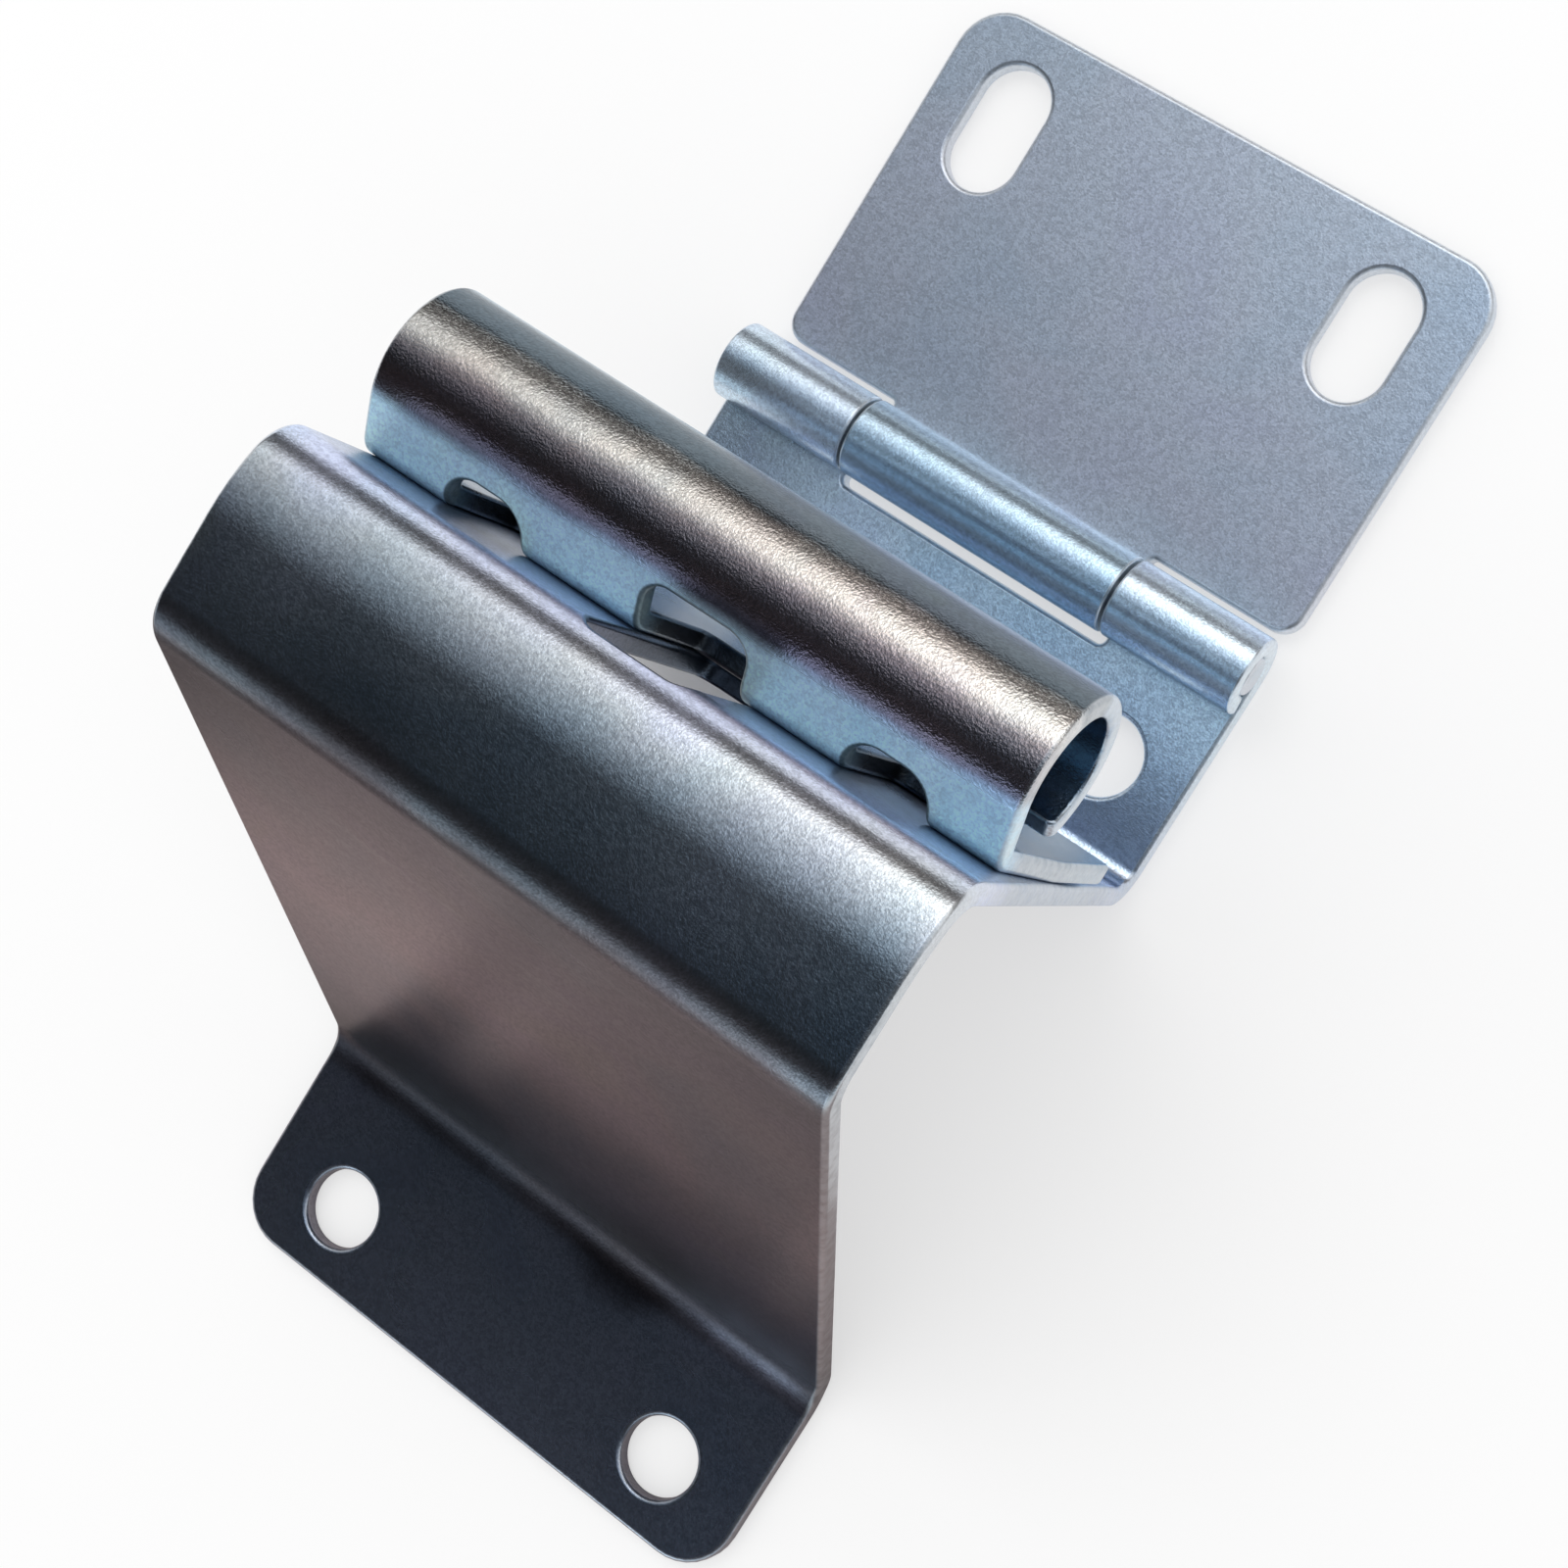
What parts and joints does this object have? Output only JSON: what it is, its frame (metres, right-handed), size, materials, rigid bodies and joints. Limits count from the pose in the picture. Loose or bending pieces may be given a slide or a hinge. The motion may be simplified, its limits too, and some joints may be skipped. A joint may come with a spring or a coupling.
{
  "type": "sectional door roller hinge",
  "caption": "Zinc-plated steel side hinge for a sectional garage door: hat-shaped leaf, folding upper leaf on a pin, and a rolled carrier tube for a roller stem.",
  "frame": {"origin": "on the panel face (the underside of the base plate), midway between the two base holes", "axes": "+X along the hinge pin, +Y up the door from the foot tab to the upper leaf, +Z out of the door panel towards the plateau"},
  "size_m": [0.07, 0.144, 0.066],
  "materials": {
    "main_leaf": "bright blue-white zinc plating on bent sheet, finely speckled",
    "upper_leaf": "bright blue-white zinc plating on flat sheet, finely speckled",
    "hinge_pin": "plain drawn steel pin, zinc plated",
    "roller_carrier": "bright blue-white zinc plating on rolled sheet, sparkling grain"
  },
  "bodies": {
    "lower": {"main_leaf": "main_leaf", "hinge_pin": "hinge_pin", "roller_carrier": "roller_carrier"},
    "upper": {"upper_leaf": "upper_leaf"}
  },
  "joints": [
    {"name": "leaf_fold", "type": "hinge", "parent": "lower", "child": "upper", "pos_m": [0, 0.0135, 0.004], "axis": [1, 0, 0], "range_deg": [-90, 95]}
  ]
}
